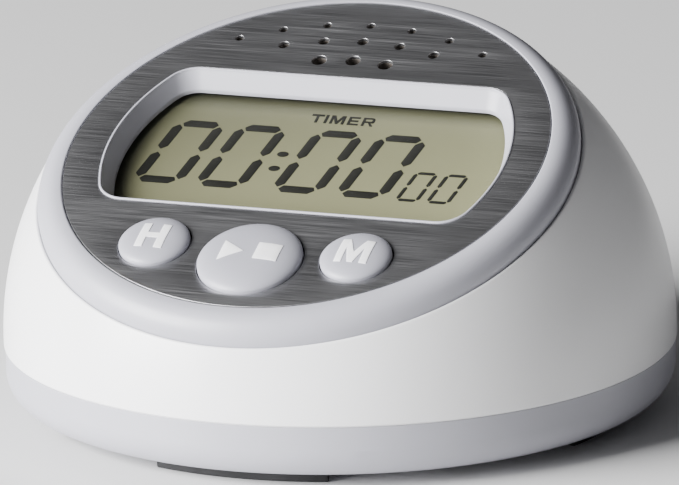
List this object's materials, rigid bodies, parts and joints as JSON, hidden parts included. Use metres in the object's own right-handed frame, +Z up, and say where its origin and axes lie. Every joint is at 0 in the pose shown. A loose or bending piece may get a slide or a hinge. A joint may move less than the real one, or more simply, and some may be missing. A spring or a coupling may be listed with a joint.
{
  "type": "lab timer",
  "caption": "Domed bench countdown timer with a tilted brushed-steel face, large digit display, sound grille and hour, start/stop and minute buttons.",
  "frame": {"origin": "centre of the footprint on the table, under the dome", "axes": "+Z up from the feet, -Y towards the user (the display face tilts to -Y), +X to the user's right"},
  "size_m": [0.0946, 0.0946, 0.0535],
  "materials": {
    "shell_white": "fine satin moulding, faint gloss",
    "trim_grey": "satin light grey moulding",
    "steel_face": "straight horizontal brushing",
    "lens_clear": "clear polished acrylic",
    "display_green": "reflective grey-green display",
    "reflector_foil": "satin foil",
    "inner_white": "plain moulding",
    "rubber_grey": "layered conductive rubber",
    "board_green": "solder mask",
    "epoxy_black": "cured resin",
    "can_metal": "plated",
    "switch_black": "plain moulding",
    "plunger_ivory": "plain moulding",
    "key_grey": "satin, with raised white marks",
    "foam_black": "closed-cell foam",
    "cone_film": "thin film",
    "cell_jacket": "printed sleeve over steel",
    "contact_nickel": "nickel plated spring steel",
    "knob_black": "ribbed",
    "foot_rubber": "matte moulded rubber",
    "screw_steel": "zinc plated",
    "lead_red": "vinyl insulation",
    "lead_black": "vinyl insulation"
  },
  "bodies": {
    "timer": {"upper_shell": "shell_white", "bezel": "trim_grey", "face_plate": "steel_face", "display_lens": "lens_clear", "display_glass": "display_green", "display_reflector": "reflector_foil", "display_frame": "inner_white", "contact_strip": "rubber_grey", "main_board": "board_green", "controller_blob": "epoxy_black", "crystal": "can_metal", "key_switches": "switch_black", "sounder_gasket": "foam_black", "sounder_frame": "switch_black", "sounder_cone": "cone_film", "sounder_magnet": "can_metal", "base_cover": "trim_grey", "front_cell": "cell_jacket", "rear_cell": "cell_jacket", "bridge_contact": "contact_nickel", "plus_contact": "contact_nickel", "minus_contact": "contact_nickel", "volume_switch": "switch_black", "front_foot": "foot_rubber", "rear_foot": "foot_rubber", "left_foot": "foot_rubber", "right_foot": "foot_rubber", "case_screws": "screw_steel", "board_screws": "screw_steel", "red_lead": "lead_red", "black_lead": "lead_black", "sounder_leads": "lead_red"},
    "hour_key": {"hour_button": "key_grey", "hour_plunger": "plunger_ivory"},
    "start_stop_key": {"start_stop_button": "key_grey", "start_stop_plunger": "plunger_ivory"},
    "minute_key": {"minute_button": "key_grey", "minute_plunger": "plunger_ivory"},
    "door": {"battery_door": "trim_grey"},
    "knob": {"volume_knob": "knob_black"}
  },
  "joints": [
    {"name": "hour_press", "type": "slide", "parent": "timer", "child": "hour_key", "axis": [0, 0.4067, -0.9135], "range_m": [0, 0.0006], "stiffness_N_per_m": 400, "springref_m": -0.0005},
    {"name": "start_stop_press", "type": "slide", "parent": "timer", "child": "start_stop_key", "axis": [0, 0.4067, -0.9135], "range_m": [0, 0.0006], "stiffness_N_per_m": 400, "springref_m": -0.0005},
    {"name": "minute_press", "type": "slide", "parent": "timer", "child": "minute_key", "axis": [0, 0.4067, -0.9135], "range_m": [0, 0.0006], "stiffness_N_per_m": 400, "springref_m": -0.0005},
    {"name": "door_slide", "type": "slide", "parent": "timer", "child": "door", "axis": [0, 1, 0], "range_m": [0, 0.007]},
    {"name": "volume_slide", "type": "slide", "parent": "timer", "child": "knob", "axis": [1, 0, 0], "range_m": [-0.0026, 0.0026]}
  ]
}
